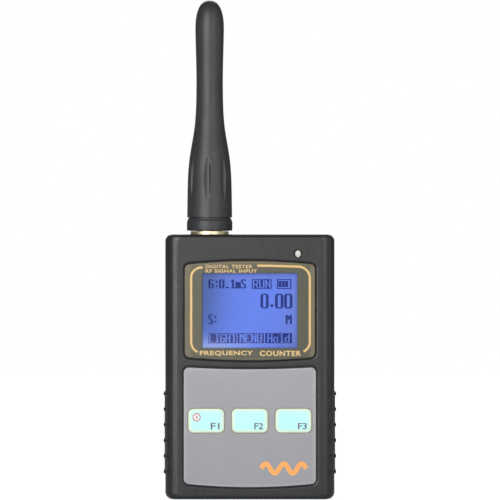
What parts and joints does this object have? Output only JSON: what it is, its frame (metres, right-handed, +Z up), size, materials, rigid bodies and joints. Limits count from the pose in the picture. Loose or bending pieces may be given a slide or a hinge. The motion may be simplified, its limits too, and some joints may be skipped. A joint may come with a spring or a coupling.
{
  "type": "handheld frequency counter",
  "caption": "Handheld frequency counter: upright two-shell case with a lit display panel, function keys, grip ribs, a sliding rear battery door and a stub antenna on a bayonet connector.",
  "frame": {"origin": "centre of the case's bottom end, on the surface it stands on", "axes": "+Z up, towards the antenna; the front face with the display looks along -Y; +X is to the right seen from the front"},
  "size_m": [0.0654, 0.026, 0.189],
  "materials": {
    "case_plastic": "fine moulded texture, charcoal grey",
    "display_panel": "printed film, olive grey, satin",
    "clear_lens": "clear acrylic window",
    "keypad_grey": "printed film, light grey, matt",
    "key_cyan": "soft translucent rubber, pale cyan",
    "switch_plastic": "moulded, black",
    "led_white": "diffused white lens",
    "lcd_glass": "blue negative display glass",
    "white_plastic": "moulded, white",
    "backlight": "light guide, milky",
    "flex_amber": "polyimide film",
    "pcb_green": "solder mask, green",
    "plain_steel": "tinned steel",
    "dark_steel": "blackened steel",
    "chip_black": "epoxy, black",
    "ceramic": "ceramic, tan",
    "battery_wrap": "shrink wrap, blue",
    "gold_plate": "gold plated, polished",
    "label_silver": "blank silver foil label",
    "copper_wire": "enamelled copper",
    "antenna_rubber": "moulded rubber, charcoal grey, satin",
    "seal_rubber": "silicone, red-brown",
    "print_gold": "screen print, pale gold",
    "print_dark": "screen print, dark grey",
    "print_red": "screen print, red",
    "print_orange": "screen print, orange",
    "lcd_light": "lit display background, blue",
    "lcd_segments": "display dots, navy"
  },
  "bodies": {
    "case": {"front_cover": "case_plastic", "rear_cover": "case_plastic", "case_screws": "dark_steel", "display_bezel": "display_panel", "display_lens": "clear_lens", "keypad_panel": "keypad_grey", "tact_switch_f1": "switch_plastic", "tact_switch_f2": "switch_plastic", "tact_switch_f3": "switch_plastic", "indicator_led": "led_white", "lcd_glass": "lcd_glass", "lcd_frame": "white_plastic", "lcd_backlight": "backlight", "lcd_flex": "flex_amber", "main_pcb": "pcb_green", "pcb_screws": "plain_steel", "microcontroller": "chip_black", "prescaler_chip": "chip_black", "reference_oscillator": "plain_steel", "voltage_regulator": "chip_black", "rf_shield": "plain_steel", "filter_capacitors": "ceramic", "charge_socket": "plain_steel", "battery_pack": "battery_wrap", "battery_contacts": "gold_plate", "rating_label": "label_silver", "jack_body": "gold_plate", "jack_insulator": "white_plastic", "jack_contact": "gold_plate", "jack_nut": "gold_plate", "jack_lock_washer": "plain_steel", "rf_lead": "copper_wire"},
    "key_f1_body": {"key_f1": "key_cyan", "switch_plunger_f1": "switch_plastic"},
    "key_f2_body": {"key_f2": "key_cyan", "switch_plunger_f2": "switch_plastic"},
    "key_f3_body": {"key_f3": "key_cyan", "switch_plunger_f3": "switch_plastic"},
    "door": {"battery_door": "case_plastic"},
    "lock_spring": {"bayonet_spring_washer": "plain_steel"},
    "lock_ring": {"bayonet_ring": "gold_plate", "collar_cover": "antenna_rubber"},
    "antenna": {"plug_body": "gold_plate", "plug_insulator": "white_plastic", "plug_pin": "gold_plate", "plug_gasket": "seal_rubber", "antenna_sheath": "antenna_rubber", "antenna_core": "white_plastic", "antenna_coil": "copper_wire"}
  },
  "joints": [
    {"name": "key_f1_press", "type": "slide", "parent": "case", "child": "key_f1_body", "axis": [0, 1, 0], "range_m": [0, 0.0005], "stiffness_N_per_m": 1500, "springref_m": -0.0005},
    {"name": "key_f2_press", "type": "slide", "parent": "case", "child": "key_f2_body", "axis": [0, 1, 0], "range_m": [0, 0.0005], "stiffness_N_per_m": 1500, "springref_m": -0.0005},
    {"name": "key_f3_press", "type": "slide", "parent": "case", "child": "key_f3_body", "axis": [0, 1, 0], "range_m": [0, 0.0005], "stiffness_N_per_m": 1500, "springref_m": -0.0005},
    {"name": "battery_door_slide", "type": "slide", "parent": "case", "child": "door", "axis": [0, 0, -1], "range_m": [0, 0.06]},
    {"name": "antenna_lift", "type": "slide", "parent": "case", "child": "lock_spring", "axis": [0, 0, 1], "range_m": [0, 0.012]},
    {"name": "collar_turn", "type": "hinge", "parent": "lock_spring", "child": "lock_ring", "pos_m": [-0.0153, 0, 0.1034], "axis": [0, 0, 1], "range_deg": [0, 90]},
    {"name": "antenna_swivel", "type": "hinge", "parent": "lock_spring", "child": "antenna", "pos_m": [-0.0153, 0, 0.1034], "axis": [0, 0, 1], "continuous": true}
  ]
}
